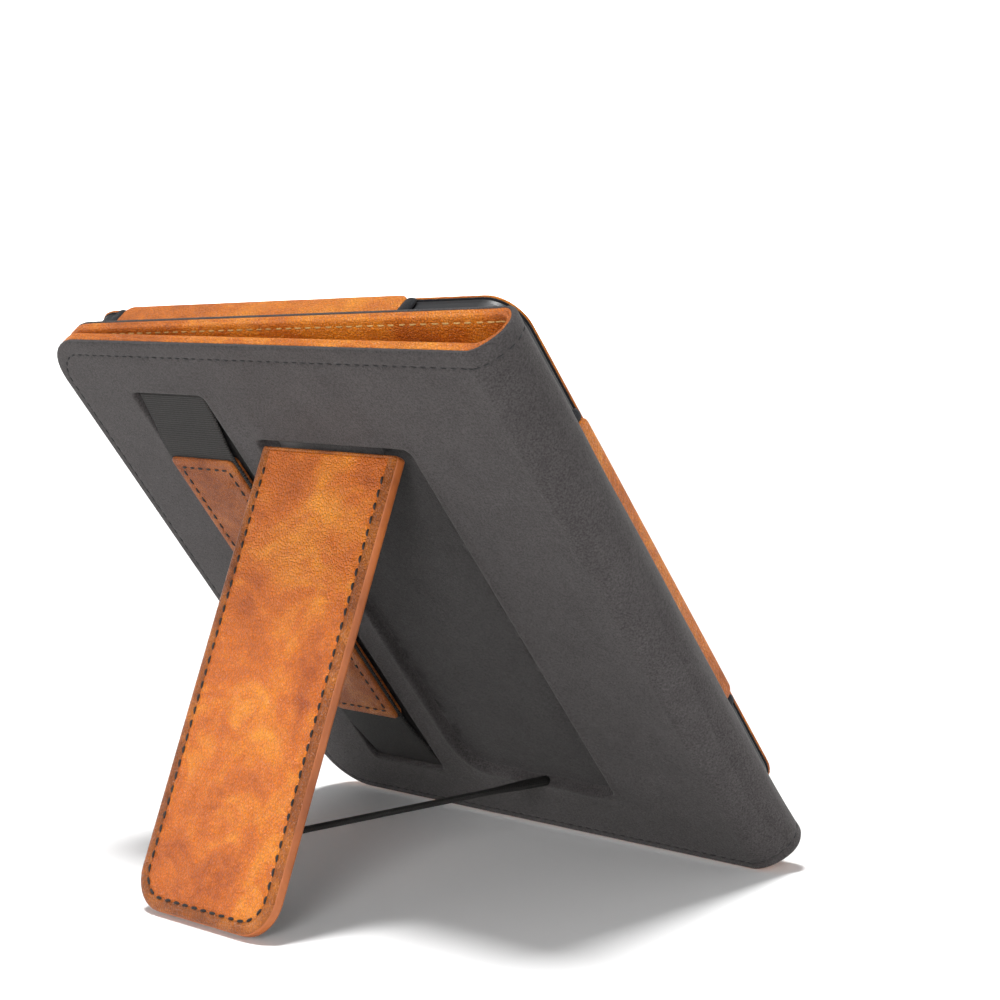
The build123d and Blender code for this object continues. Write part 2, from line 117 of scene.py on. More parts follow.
def ramp(tree, fac, stops):
    node = add(tree, "ShaderNodeValToRGB")
    while len(node.color_ramp.elements) < len(stops):
        node.color_ramp.elements.new(0.5)
    for element, (place, colour) in zip(node.color_ramp.elements, stops):
        element.position = place
        if isinstance(colour, (int, float)):
            colour = (colour, colour, colour)
        element.color = (*colour, 1)
    tree.links.new(fac, node.inputs["Fac"])
    return node.outputs["Color"]


def mix(tree, fac, a, b, mode="MIX"):
    node = add(tree, "ShaderNodeMix", data_type="RGBA", blend_type=mode)
    for socket, value in ((node.inputs[0], fac), (node.inputs[6], a), (node.inputs[7], b)):
        if isinstance(value, bpy.types.NodeSocket):
            tree.links.new(value, socket)
        elif isinstance(value, (int, float)):
            socket.default_value = value
        else:
            socket.default_value = (*value, 1)
    return node.outputs[2]


def math_of(tree, operation, a, b):
    node = add(tree, "ShaderNodeMath", operation=operation)
    for socket, value in ((node.inputs[0], a), (node.inputs[1], b)):
        if isinstance(value, bpy.types.NodeSocket):
            tree.links.new(value, socket)
        else:
            socket.default_value = value
    return node.outputs[0]


def bump(tree, shader, height, strength, distance):
    node = add(tree, "ShaderNodeBump")
    node.inputs["Strength"].default_value = strength
    node.inputs["Distance"].default_value = distance
    tree.links.new(height, node.inputs["Height"])
    tree.links.new(node.outputs["Normal"], shader.inputs["Normal"])


def srgb(r, g, b):
    def linear(v):
        v /= 255
        return v / 12.92 if v <= 0.04045 else ((v + 0.055) / 1.055) ** 2.4
    return (linear(r), linear(g), linear(b))


def leather(name, dark, middle, light, spread=38, rough=0.42):
    """Pull-up leather: cloudy mottling, streaks, fine pebble grain and small pores."""
    mat, tree, shader = nodes_of(name)
    at = coordinates(tree)
    along = coordinates(tree, (math.radians(35), 0, math.radians(20)), (1, 2.6, 1))
    clouds = noise_of(tree, at, spread, 6, 0.62, 0.7)
    streaks = noise_of(tree, along, spread * 2.4, 5, 0.6, 1.4)
    mottle = math_of(tree, "ADD", math_of(tree, "MULTIPLY", clouds, 0.66),
                     math_of(tree, "MULTIPLY", streaks, 0.34))
    base = ramp(tree, mottle, ((0.34, dark), (0.5, middle), (0.64, light)))
    fine = noise_of(tree, at, 2300, 3, 0.65)
    speckle = ramp(tree, fine, ((0.36, 0.7), (0.6, 1.0), (0.74, 1.06)))
    cells = add(tree, "ShaderNodeTexVoronoi", feature="DISTANCE_TO_EDGE")
    cells.inputs["Scale"].default_value = 1150
    tree.links.new(at, cells.inputs["Vector"])
    pebble = ramp(tree, cells.outputs["Distance"], ((0.0, 0.0), (0.22, 1.0)))
    creases = ramp(tree, cells.outputs["Distance"], ((0.0, 0.8), (0.16, 1.0)))
    grained = mix(tree, 1.0, mix(tree, 1.0, base, speckle, "MULTIPLY"), creases, "MULTIPLY")
    tree.links.new(grained, shader.inputs["Base Color"])
    grain = math_of(tree, "ADD", math_of(tree, "MULTIPLY", pebble, 0.5),
                    math_of(tree, "MULTIPLY", noise_of(tree, at, 900, 4, 0.7), 0.9))
    wrinkles = noise_of(tree, along, 260, 4, 0.6, 0.8)
    bump(tree, shader, math_of(tree, "ADD", grain, wrinkles), 0.9, 0.00036)
    gloss = ramp(tree, clouds, ((0.3, rough + 0.12), (0.7, rough - 0.06)))
    tree.links.new(gloss, shader.inputs["Roughness"])
    shader.inputs["Specular IOR Level"].default_value = 0.42
    return mat


def suede(name, low, high, grain=2600):
    """Microfibre suede: short nap, faint brushing marks and pilling, no gloss."""
    mat, tree, shader = nodes_of(name)
    at = coordinates(tree)
    nap = noise_of(tree, at, 60, 7, 0.72, 0.3)
    fibres = noise_of(tree, at, grain, 4, 0.75)
    base = ramp(tree, nap, ((0.25, low), (0.78, high)))
    flecks = ramp(tree, fibres, ((0.35, 0.55), (0.5, 1.0), (0.65, 1.4)))
    tree.links.new(mix(tree, 1.0, base, flecks, "MULTIPLY"), shader.inputs["Base Color"])
    soft = math_of(tree, "ADD", fibres, noise_of(tree, at, 700, 4, 0.6))
    bump(tree, shader, soft, 0.5, 0.00022)
    shader.inputs["Roughness"].default_value = 0.94
    shader.inputs["Specular IOR Level"].default_value = 0.12
    shader.inputs["Sheen Weight"].default_value = 0.12
    shader.inputs["Sheen Roughness"].default_value = 0.55
    shader.inputs["Sheen Tint"].default_value = (0.85, 0.82, 0.8, 1)
    return mat


def woven(name, low, high, pitch, turn):
    """Woven tape: ribs along one way and a finer pick across them."""
    mat, tree, shader = nodes_of(name)
    at = coordinates(tree, (turn, 0, 0))
    ribs = add(tree, "ShaderNodeTexWave", bands_direction="X")
    ribs.inputs["Scale"].default_value = pitch
    ribs.inputs["Distortion"].default_value = 0.6
    ribs.inputs["Detail"].default_value = 1
    picks = add(tree, "ShaderNodeTexWave", bands_direction="Y")
    picks.inputs["Scale"].default_value = pitch * 0.8
    picks.inputs["Distortion"].default_value = 0.8
    for wave in (ribs, picks):
        tree.links.new(at, wave.inputs["Vector"])
    weave = math_of(tree, "MULTIPLY", ribs.outputs["Fac"], picks.outputs["Fac"])
    lint = noise_of(tree, at, 1900, 3, 0.7)
    shade = math_of(tree, "ADD", math_of(tree, "MULTIPLY", weave, 0.6),
                    math_of(tree, "MULTIPLY", lint, 0.5))
    tree.links.new(ramp(tree, shade, ((0.15, low), (0.8, high))), shader.inputs["Base Color"])
    bump(tree, shader, shade, 0.6, 0.0003)
    shader.inputs["Roughness"].default_value = 0.78
    shader.inputs["Specular IOR Level"].default_value = 0.25
    return mat


def solid(name, low, high, rough, grain=900, depth=0.00006, metal=0.0, spec=0.5):
    """Moulded plastic, metal or board, with a fine surface and slight wear."""
    mat, tree, shader = nodes_of(name)
    at = coordinates(tree)
    wear = noise_of(tree, at, 55, 4, 0.6)
    fine = noise_of(tree, at, grain, 3, 0.6)
    base = ramp(tree, wear, ((0.3, low), (0.7, high)))
    tree.links.new(base, shader.inputs["Base Color"])
    tree.links.new(ramp(tree, wear, ((0.3, rough + 0.06), (0.7, rough - 0.04))),
                   shader.inputs["Roughness"])
    bump(tree, shader, fine, 0.35, depth)
    shader.inputs["Metallic"].default_value = metal
    shader.inputs["Specular IOR Level"].default_value = spec
    return mat


def glass(name, rough, ior):
    mat, tree, shader = nodes_of(name)
    at = coordinates(tree)
    smudge = noise_of(tree, at, 60, 4, 0.6)
    tree.links.new(ramp(tree, smudge, ((0.3, rough), (0.75, rough + 0.05))),
                   shader.inputs["Roughness"])
    shader.inputs["Base Color"].default_value = (0.5, 0.51, 0.5, 1)
    shader.inputs["Alpha"].default_value = 0.16
    shader.inputs["IOR"].default_value = ior
    return mat


LEAN = math.radians(-51.5)
tan = leather("tan_leather", srgb(168, 84, 14), srgb(208, 112, 22), srgb(234, 144, 40))
tan_stand = leather("tan_leather_stand", srgb(160, 70, 8), srgb(212, 108, 14),
                    srgb(242, 148, 34), 34, 0.34)
tan_burnished = leather("tan_leather_burnished", srgb(112, 54, 8), srgb(154, 80, 14),
                        srgb(196, 112, 26), 40, 0.36)
# a darker copy of the tan leather for the hand strap's grip, painted shade: the grip faces down under the
# leaning cover
tan_grip_shaded = leather("tan_leather_grip_shaded", srgb(122, 56, 6), srgb(156, 80, 12), srgb(184, 104, 22), 44, 0.55)
painted = solid("painted_edge", srgb(140, 72, 28), srgb(184, 102, 46), 0.46, 700, 0.0001)
grey = suede("grey_lining", srgb(55, 52, 52), srgb(68, 65, 65), 2100)
# a darker copy of the grey lining, painted shade: it floors the recessed wells and also covers the stand's
# back and its hinge tape
grey_painted_shade = suede("grey_lining_painted_shade", srgb(44, 42, 42), srgb(55, 53, 53), 2100)
elastic = woven("black_elastic", srgb(26, 25, 25), srgb(66, 64, 62), 620, LEAN)
ribbon = woven("black_ribbon", srgb(14, 14, 14), srgb(48, 46, 44), 900, LEAN)
thread_dark = solid("thread_dark", srgb(14, 14, 15), srgb(34, 33, 34), 0.7, 2500, 0.0001)
thread_tan = solid("thread_tan", srgb(150, 112, 60), srgb(214, 176, 110), 0.7, 2500, 0.0001)
# black suede: the sleeve frame's inner lining, and the painted shadow lumps at the ends of the sleeve's walls
black_lining_and_shadow = suede("black_lining_and_shadow", srgb(24, 25, 28), srgb(40, 41, 44))
board = solid("case_board", srgb(150, 140, 122), srgb(172, 160, 140), 0.85)
magnet = solid("magnet", srgb(150, 150, 154), srgb(186, 186, 190), 0.22, 900, 0.00002, 1.0)
housing = solid("black_housing", srgb(24, 25, 27), srgb(36, 37, 40), 0.52, 2200, 0.00008)
bezel = solid("black_bezel", srgb(20, 21, 23), srgb(30, 31, 34), 0.4, 2400, 0.00006)
paper = solid("screen_paper", srgb(196, 196, 188), srgb(208, 208, 200), 0.72, 3000, 0.00003)
film = glass("light_film", 0.12, 1.45)
lens = glass("screen_glass", 0.24, 1.5)
metal = solid("frame_metal", srgb(150, 150, 154), srgb(176, 176, 180), 0.42, 1500, 0.00004, 1.0)
green = solid("board_green", srgb(18, 74, 44), srgb(30, 96, 58), 0.45)
steel = solid("steel", srgb(140, 140, 142), srgb(172, 172, 174), 0.3, 1200, 0.00003, 1.0)
cell = solid("cell", srgb(44, 46, 50), srgb(70, 72, 78), 0.35)


# ---------------------------------------------------------------- mesh helpers
def finish_piece(bm, name, space, materials, rides=None, replaced=()):
    bmesh.ops.remove_doubles(bm, verts=bm.verts, dist=0.0004)
    bmesh.ops.recalc_face_normals(bm, faces=bm.faces)
    mesh = bpy.data.meshes.new(name)
    for face in bm.faces:
        face.smooth = True
    bm.to_mesh(mesh)
    bm.free()
    mesh.transform(space)
    for material in materials:
        mesh.materials.append(material)
    obj = bpy.data.objects.new(name, mesh)
    bpy.context.scene.collection.objects.link(obj)
    if replaced:
        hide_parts(*replaced)
    if rides:
        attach(obj, rides)
    return obj


def rounded(x0, x1, y0, y1, radii, inset=0.0, step=4.0, arc=9):
    """A rounded rectangle as a loop, with the same number of points whatever the inset.
    Radii are at (x1, y0), (x1, y1), (x0, y1), (x0, y0); the loop runs anticlockwise from the first."""
    insets = inset if isinstance(inset, tuple) else (inset,) * 4
    a, b = x0 + insets[3], x1 - insets[1]
    c, d = y0 + insets[0], y1 - insets[2]
    reduced = sum(insets) / 4
    corners = ((b, c, -90), (b, d, 0), (a, d, 90), (a, c, 180))
    counts = [max(1, round(v / step)) for v in (y1 - y0, x1 - x0, y1 - y0, x1 - x0)]
    loop = []
    for i, (cx, cy, turn) in enumerate(corners):
        r = max(radii[i] - reduced, 0.02)
        ox = cx - r if i in (0, 1) else cx + r
        oy = cy + r if i in (0, 3) else cy - r
        for k in range(arc + 1):
            angle = math.radians(turn + 90 * k / arc)
            loop.append(Vector((ox + r * math.cos(angle), oy + r * math.sin(angle))))
        nxt = corners[(i + 1) % 4]
        r2 = max(radii[(i + 1) % 4] - reduced, 0.02)
        j = (i + 1) % 4
        ex = nxt[0] - r2 if j in (0, 1) else nxt[0] + r2
        ey = nxt[1] + r2 if j in (0, 3) else nxt[1] - r2
        end = Vector((nxt[0], ey)) if i in (0, 2) else Vector((ex, nxt[1]))
        start = loop[-1]
        for k in range(1, counts[i]):
            loop.append(start.lerp(end, k / counts[i]))
    return loop


def inside(p, loop):
    hit = False
    for a, b in zip(loop, loop[1:] + loop[:1]):
        if (a.y > p.y) != (b.y > p.y):
            if p.x < (b.x - a.x) * (p.y - a.y) / (b.y - a.y) + a.x:
                hit = not hit
    return hit


def fill(bm, outer, holes, step, height, material=0):
    """Triangles over the outer ring of bmesh vertices, with holes, and a grid of points between."""
    rings = [outer] + holes
    flat = [[v.co.xy for v in ring] for ring in rings]
    points, verts, edges = [], [], []
    for ring, coordinates_2d in zip(rings, flat):
        first = len(points)
        points += coordinates_2d
        verts += ring
        n = len(ring)
        edges += [(first + k, first + (k + 1) % n) for k in range(n)]
    if step:
        xs = [p.x for p in flat[0]]
        ys = [p.y for p in flat[0]]
        nx = max(1, int((max(xs) - min(xs)) / step))
        ny = max(1, int((max(ys) - min(ys)) / step))
        near = {(round(p.x / step), round(p.y / step)) for ring in flat for p in ring}
        for i in range(1, nx):
            for j in range(1, ny):
                p = Vector((min(xs) + (max(xs) - min(xs)) * (i + 0.5 * (j % 2)) / nx,
                            min(ys) + (max(ys) - min(ys)) * j / ny))
                if (round(p.x / step), round(p.y / step)) in near:
                    continue
                if inside(p, flat[0]) and not any(inside(p, h) for h in flat[1:]):
                    points.append(p)
                    verts.append(bm.verts.new((p.x, p.y, height(p.x, p.y))))
    out_points, _, faces, origin, _, _ = delaunay_2d_cdt(points, edges, [], 0, 1e-5)
    for face in faces:
        middle = sum((out_points[k] for k in face), Vector((0, 0))) / len(face)
        if inside(middle, flat[0]) and not any(inside(middle, h) for h in flat[1:]):
            corners = [verts[origin[k][0]] for k in face]
            if len(set(corners)) == len(corners) and not bm.faces.get(corners):
                bm.faces.new(corners).material_index = material


def ring_of(bm, loop, z, height=None):
    return [bm.verts.new((p.x, p.y, z + (height(p.x, p.y) if height else 0))) for p in loop]


def bridge(bm, a, b, closed=True, material=0):
    n = len(a)
    for k in range(n if closed else n - 1):
        m = (k + 1) % n
        bm.faces.new((a[k], a[m], b[m], b[k])).material_index = material


def nothing(x, y):
    return 0.0


def plate(bm, outline, rim, height=nothing, step=3.0, border=(99, 0)):
    """A closed plate: a filled face inside rim[0], then rings (inset, z) round the edge to the back.
    The rings from border[0] outwards take the material border[1]."""
    rings = [ring_of(bm, outline(i), z, height) for i, z in rim]
    for k, (a, b) in enumerate(zip(rings, rings[1:])):
        bridge(bm, a, b, material=border[1] if k >= border[0] else 0)
    base = rim[0][1]
    fill(bm, rings[0], [], step, lambda x, y: base + height(x, y))
    bm.faces.new(rings[-1])


def stitch_line(bm, points, normals, period, length, radius, material=1, closed=False,
                lift=0.0, lean=0.0):
    """Small sewn dashes along a line; each one dips into the surface at its ends."""
    if closed:
        points = points + points[:1]
        normals = normals + normals[:1]
    lengths = [0.0]
    for a, b in zip(points, points[1:]):
        lengths.append(lengths[-1] + (b - a).length)
    count = max(2, round(lengths[-1] / period))
    sides = 6
    shape = ((-0.5, 0.35, -0.9), (-0.34, 0.85, -0.05), (0, 1.0, 0.3), (0.34, 0.85, -0.05),
             (0.5, 0.35, -0.9))
    at = 0
    for k in range(count):
        s = (k + 0.5 + random.uniform(-0.05, 0.05)) * lengths[-1] / count
        while at < len(points) - 2 and lengths[at + 1] < s:
            at += 1
        while at > 0 and lengths[at] > s:
            at -= 1
        share = (s - lengths[at]) / max(lengths[at + 1] - lengths[at], 1e-6)
        centre = points[at].lerp(points[at + 1], share)
        n = normals[at].lerp(normals[at + 1], share).normalized()
        t = (points[at + 1] - points[at]).normalized()
        side = n.cross(t).normalized()
        t = (t + side * (lean + random.uniform(-0.06, 0.06))).normalized()
        side = n.cross(t).normalized()
        long = length * random.uniform(0.92, 1.06)
        rings = []
        for along, wide, up in shape:
            middle = centre + t * along * long + n * (up * radius + lift)
            rings.append([bm.verts.new(middle + radius * wide * (
                side * math.cos(2 * math.pi * i / sides) + n * math.sin(2 * math.pi * i / sides)))
                for i in range(sides)])
        for a, b in zip(rings, rings[1:]):
            bridge(bm, a, b, material=material)
        bm.faces.new(rings[0]).material_index = material
        bm.faces.new(rings[-1]).material_index = material


def soft_noise(x, y, scale, depth, seed=0.0):
    return depth * noise.noise(Vector((x / scale, y / scale, seed)))


def hump(x, centre, width):
    """1 at the centre, falling smoothly to 0 at width."""
    t = min(abs(x - centre) / width, 1)
    return (1 - t * t) ** 2


# ---------------------------------------------------------------- leaves (open along the spine seam)
def leaf_chain(x0, bottom, free, top, along=34, up=38, arc=10):
    """From the seam along the lower edge, round the free edge, and back along the top."""
    y0, y1, x1 = bottom, LEAF_H - top, -free
    r = max(LEAF_R - (bottom + free + top) / 3, 0.1)
    line = [Vector((x0 + (x1 - r - x0) * k / along, y0)) for k in range(along)]
    line += [Vector((x1 - r + r * math.sin(a), y0 + r - r * math.cos(a)))
             for a in (math.radians(90 * k / arc) for k in range(arc + 1))]
    line += [Vector((x1, y0 + r + (y1 - y0 - 2 * r) * k / up)) for k in range(1, up)]
    line += [Vector((x1 - r + r * math.cos(a), y1 - r + r * math.sin(a)))
             for a in (math.radians(90 * k / arc) for k in range(arc + 1))]
    line += [Vector((x1 - r + (x0 - x1 + r) * k / along, y1)) for k in range(1, along + 1)]
    return line


def leaf_plate(bm, x0, rim, cap, height=nothing, holes=(), step=3.0):
    """rim is a list of (bottom inset, free inset, top inset, z); the hidden back is closed at cap."""
    last = rim[-1][3]
    rim = rim + [(1.5, 1.5, 1.5, last), (1.6, 1.6, 1.6, cap)]
    rings = [ring_of(bm, leaf_chain(x0, b, f, t), z, height) for b, f, t, z in rim]
    for a, b in zip(rings, rings[1:]):
        bridge(bm, a, b, closed=False)
    lips = []
    for hole, hole_rim, floor, floor_material in holes:
        inner = [ring_of(bm, hole(i), z, height if k == 0 else None)
                 for k, (i, z) in enumerate(hole_rim)]
        for a, b in zip(inner, inner[1:]):
            bridge(bm, a, b)
        fill(bm, inner[-1], [], step, floor, floor_material)
        lips.append(inner[0])
    base = rim[0][3]
    y1, y0 = rings[0][-1].co.y, rings[0][0].co.y
    count = round((y1 - y0) / step)
    seam = [bm.verts.new((x0, y, base + height(x0, y)))
            for y in (y1 + (y0 - y1) * k / count for k in range(1, count))]
    fill(bm, rings[0] + seam, lips, step, lambda x, y: base + height(x, y))
    bm.faces.new(rings[-1])


# ring shares: u scales the insets (stitch line at 1), f runs from the face (0) to the middle layer (1)
LINING_RIM = ((1.8, 0), (1.25, 0), (1.1, 0.03), (1.0, 0.14), (0.9, 0.03), (0.72, 0), (0.3, 0),
              (0.12, 0.04), (0.04, 0.17), (0.0, 0.42), (0.0, 0.75), (0.03, 1.0))
LINING_BOTTOM, LINING_FREE, LINING_TOP = 2.4, 2.4, 4.4
LEATHER_RIM = ((6, 0), (3.2, 0), (2.4, 0), (2.15, 0.035), (1.85, 0.035), (1.6, 0), (0.9, 0),
               (0.4, 0.035), (0.12, 0.12), (0.0, 0.25), (0.0, 0.46), (0.16, 0.52), (0.16, 0.56),
               (0.0, 0.62), (0.0, 0.85), (0.1, 1.0))


def lining_rim(face, middle):
    return [(LINING_BOTTOM * u, LINING_FREE * u, LINING_TOP * u, face + (middle - face) * f)
            for u, f in LINING_RIM]


def leather_rim(face, middle):
    return [(i, i, i, face + (middle - face) * f) for i, f in LEATHER_RIM]


def ease(t):
    t = min(max(t, 0), 1)
    return t * t * (3 - 2 * t)


def lining_height(x, y):
    """Shallow unevenness of the lining, with the faint outlines of the board and flaps under it."""
    z = soft_noise(x, y, 34, 0.10) + soft_noise(x, y, 11, 0.03, 4.0)
    z *= ease((y - 5) / 8) * ease((LEAF_H - 7 - y) / 8) * ease((-x - 4) / 8) * ease((x - SEAM_X) / 8)
    above = ease((y - 147) / 4) * ease((163 - y) / 6)
    z -= 0.20 * hump(x, -52.8, 1.7) * above
    z += 0.14 * hump(x, -50.4, 1.5) * above
    over = ease((y - 134) / 4) * ease((158 - y) / 16)
    z -= 0.24 * hump(x, -65.2, 1.9) * over
    z += 0.16 * hump(x, -62.4, 1.8) * over
    z -= 0.12 * hump(x, -146.8, 2.2) * ease((y - 8) / 20) * ease((150 - y) / 30)
    dimple = math.hypot(x + 91.3, y - 17.2)
    z += 0.55 * max(0, 1 - dimple / 4.2) ** 2
    return z


STRAP_WELL = (-52.4, -24.6, 15.5, 151.5)
STAND_WELL = (-115.8, -62.5, 18.6, 138.1)


def strap_well(i):
    x0, x1, y0, y1 = STRAP_WELL
    return rounded(x0, x1, y0, y1, (1.6, 1.6, 1.6, 1.6), i, 4.0, 5)


def stand_well(i):
    x0, x1, y0, y1 = STAND_WELL
    loop = rounded(x0, x1, y0, y1, (10.5, 2.0, 2.0, 2.0), i, 3.0, 8)
    wave = [Vector((p.x, p.y + (0.35 * math.sin(p.x * 0.31) if p.y < y0 + 4 else 0))) for p in loop]
    return wave


def well_floor(x, y):
    return 2.4 + soft_noise(x, y, 16, 0.12, 9.0)


WELL_LIP = ((-2.4, 0.0), (-1.5, -0.10), (-0.8, -0.20), (-0.3, -0.10), (0.05, 0.25), (0.2, 0.9),
            (0.3, 1.7), (0.6, 2.3), (1.2, 2.4))
STRAP_LIP = ((-1.6, 0.0), (-0.8, -0.10), (-0.3, -0.03), (0.02, 0.3), (0.12, 1.0), (0.2, 1.9), (0.5, 2.4))

# ---- cover lining
bm = bmesh.new()
# the floors of both wells take the darker grey, painted shade of the recesses
leaf_plate(bm, SEAM_X, lining_rim(0.0, 1.15), 2.75, lining_height,
           [(strap_well, STRAP_LIP, well_floor, 2), (stand_well, WELL_LIP, well_floor, 2)], 2.6)
line = [Vector((p.x, p.y, 0.1)) for p in leaf_chain(SEAM_X, LINING_BOTTOM, LINING_FREE, LINING_TOP)]
stitch_line(bm, line, [Vector((0, 0, -1))] * len(line), 3.0, 2.0, 0.22, 1)
finish_piece(bm, "cover_lining_soft", cover, (grey, thread_dark, grey_painted_shade),
             "cover", ("cover_lining",))

# ---- cover leather: the outer face when the case is shut, turned over the board's edges
def leather_height(x, y):
    edge = ease((y - 3) / 5) * ease((LEAF_H - 3 - y) / 5) * ease((-x - 3) / 5) * ease((x - SEAM_X) / 5)
    return edge * (soft_noise(x, y, 40, 0.08, 2.0) + 0.05)


def leather_leaf(name, space, x0, face, middle, cap, rides, replaced, sign):
    bm = bmesh.new()
    leaf_plate(bm, x0, leather_rim(face, middle), cap, lambda x, y: sign * leather_height(x, y), (), 4.0)
    line = [Vector((p.x, p.y, face + 0.06 * (-sign))) for p in leaf_chain(x0, 2.0, 2.0, 2.0)]
    stitch_line(bm, line, [Vector((0, 0, sign))] * len(line), 3.3, 2.3, 0.26, 1)
    return finish_piece(bm, name, space, (tan, thread_tan), rides, replaced)


leather_leaf("cover_leather_soft", cover, SEAM_X, 4.0, 1.2, 3.05, "cover", ("cover_leather",), 1)

# ---- tray leather and lining
TRAY_SEAM = -150.5
leather_leaf("tray_leather_soft", tray, TRAY_SEAM, 0.0, 2.35, 1.0, "reader", ("tray_leather",), -1)
bm = bmesh.new()
leaf_plate(bm, TRAY_SEAM, [(b * 0.55, f * 0.55, t * 0.3, z) for b, f, t, z in lining_rim(3.2, 2.3)],
           2.4, nothing, (), 5.0)
finish_piece(bm, "tray_lining_soft", tray, (grey,), "reader", ("tray_lining",))

# ---------------------------------------------------------------- spine: one soft U of leather and lining
SPINE_REACH = 0.5  # how far the soft U stands out from the seam, as a share of the curves below
OUTSIDE = ((-150, 0), (-153.5, 0.1), (-157.3, 1.15), (-161.0, 3.3), (-163.9, 6.3), (-164.9, 9.4),
           (-164.0, 12.4), (-161.3, 15.1), (-157.3, 16.5), (-153.6, 16.42), (-150.07, 16.21))
BETWEEN = ((-150, 1.15), (-153.5, 1.3), (-157.2, 2.5), (-160.3, 4.6), (-162.5, 7.2), (-163.0, 9.4),
           (-162.3, 11.8), (-160.0, 13.9), (-156.8, 15.2), (-153.6, 15.6), (-150.11, 15.41))
INSIDE = ((-150, 4.0), (-153.5, 4.05), (-156.6, 4.7), (-159.0, 5.8), (-160.9, 7.4), (-161.4, 9.2),
          (-160.9, 10.9), (-159.2, 12.2), (-156.6, 12.95), (-153.6, 13.18), (-150.25, 13.01))


def on_curve(points, t):
    """Catmull-Rom through the points, straight on at both ends."""
    k = min(int(t), len(points) - 2)
    u = t - k
    p = [Vector(points[min(max(k + j, 0), len(points) - 1)]) for j in (-1, 0, 1, 2)]
    if k == 0:
        p[0] = p[1] * 2 - p[2]
    if k == len(points) - 2:
        p[3] = p[2] * 2 - p[1]
    return 0.5 * (2 * p[1] + (p[2] - p[0]) * u + (2 * p[0] - 5 * p[1] + 4 * p[2] - p[3]) * u * u
                  + (3 * p[1] - p[0] - 3 * p[2] + p[3]) * u ** 3)


def flare(t, y):
    """The spine spreads a little more at its lower end, where the case stands on it."""
    return -1.9 * math.sin(math.pi * t / 10) ** 2 * math.exp(-max(y, 0) / 8)


SPINE_PARTS = (
    ("a", 0.0, 1.6, "cover", "spine_cover_slat", (-150.3, 2.0), (-155.2, 2.0), "cover"),
    ("b", 1.6, 5.0, "spine_cover_slat", "spine_back_slat", (-156.3, 4.6), (-160.3, 8.2), "back"),
    ("c", 5.0, 8.4, "spine_back_slat", "spine_tray_slat", (-160.3, 10.2), (-156.3, 13.2), "back"),
    ("d", 8.4, 10.0, "spine_tray_slat", "reader", (-155.2, 14.5), (-150.7, 14.5), "tray"),
)


def spine_strip(kind, part):
    name, t0, t1, body_a, body_b, start, end, node = part
    lining = kind == "lining"
    face = OUTSIDE if lining else INSIDE
    if lining:
        rows = [(LINING_BOTTOM * u, f) for u, f in reversed(LINING_RIM)]
        top = [(LEAF_H - LINING_TOP * u, f) for u, f in LINING_RIM]
    else:
        rows = [(i, f) for i, f in reversed(LEATHER_RIM)]
        top = [(LEAF_H - i, f) for i, f in LEATHER_RIM]
    low, high = rows[-1][0], top[0][0]
    rows += [(low + (high - low) * k / 30, 0.0) for k in range(1, 30)] + top
    columns = max(6, round((t1 - t0) * 6))
    bm = bmesh.new()

    def at(t, y, f):
        outer, inner = on_curve(face, t), on_curve(BETWEEN, t)
        for p in (outer, inner):
            p.x = SEAM_X + (p.x - SEAM_X) * SPINE_REACH
        away = (outer - inner).normalized()
        p = outer.lerp(inner, f)
        if f == 0:
            calm = ease((y - 6) / 12) * ease((LEAF_H - 10 - y) / 12)
            calm *= math.sin(math.pi * min(max(t, 0), 10) / 10)
            p = p + away * calm * (noise.noise(Vector((t * 0.7, y / 26, 3.0))) * 0.35
                                   + noise.noise(Vector((t * 2.0, y / 9, 5.0))) * 0.07)
        return Vector((p.x + flare(t, y), y, p.y)), Vector((away.x, 0, away.y))

    grid = [[bm.verts.new(at(t0 + (t1 - t0) * c / columns, y, f)[0]) for y, f in rows]
            for c in range(columns + 1)]
    for a, b in zip(grid, grid[1:]):
        bridge(bm, a, b, closed=False)
        bm.faces.new((a[-1], b[-1], b[0], a[0]))
    edge_lines = (LINING_BOTTOM, LEAF_H - LINING_TOP) if lining else (2.0, LEAF_H - 2.0)
    for y in edge_lines:
        pairs = [at(t0 + (t1 - t0) * k / 60, y, 0.12 if lining else 0.04) for k in range(61)]
        stitch_line(bm, [p for p, _ in pairs], [n for _, n in pairs],
                    3.0 if lining else 3.3, 2.0, 0.22, 1)
    materials = (grey, thread_dark) if lining else (tan, thread_tan)
    obj = finish_piece(bm, f"spine_{kind}_{name}", cover, materials,
                       None,
                       (f"spine_{kind}_{node}",))
    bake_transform(obj)


for part in SPINE_PARTS:
    for kind in ("lining", "leather"):
        spine_strip(kind, part)

# ---------------------------------------------------------------- kickstand
STAND_HALF, STAND_TOP, STAND_FOOT, FOOT_R = 23.6, -0.6, -114.5, 9.0


def stand_outline(i):
    return rounded(-STAND_HALF, STAND_HALF, STAND_FOOT, STAND_TOP, (FOOT_R, 1.2, 1.2, FOOT_R),
                   (i, i, 0.3 * i, i), 4.0, 9)


def stand_height(x, y):
    calm = ease((STAND_HALF - 3.4 - abs(x)) / 3) * ease((y - STAND_FOOT - 4.4) / 3)
    calm *= ease((STAND_TOP - y) / 9)
    return calm * (soft_noise(x, y, 17, 0.09, 1.0) - 0.22 * (1 - (x / STAND_HALF) ** 2) ** 2)


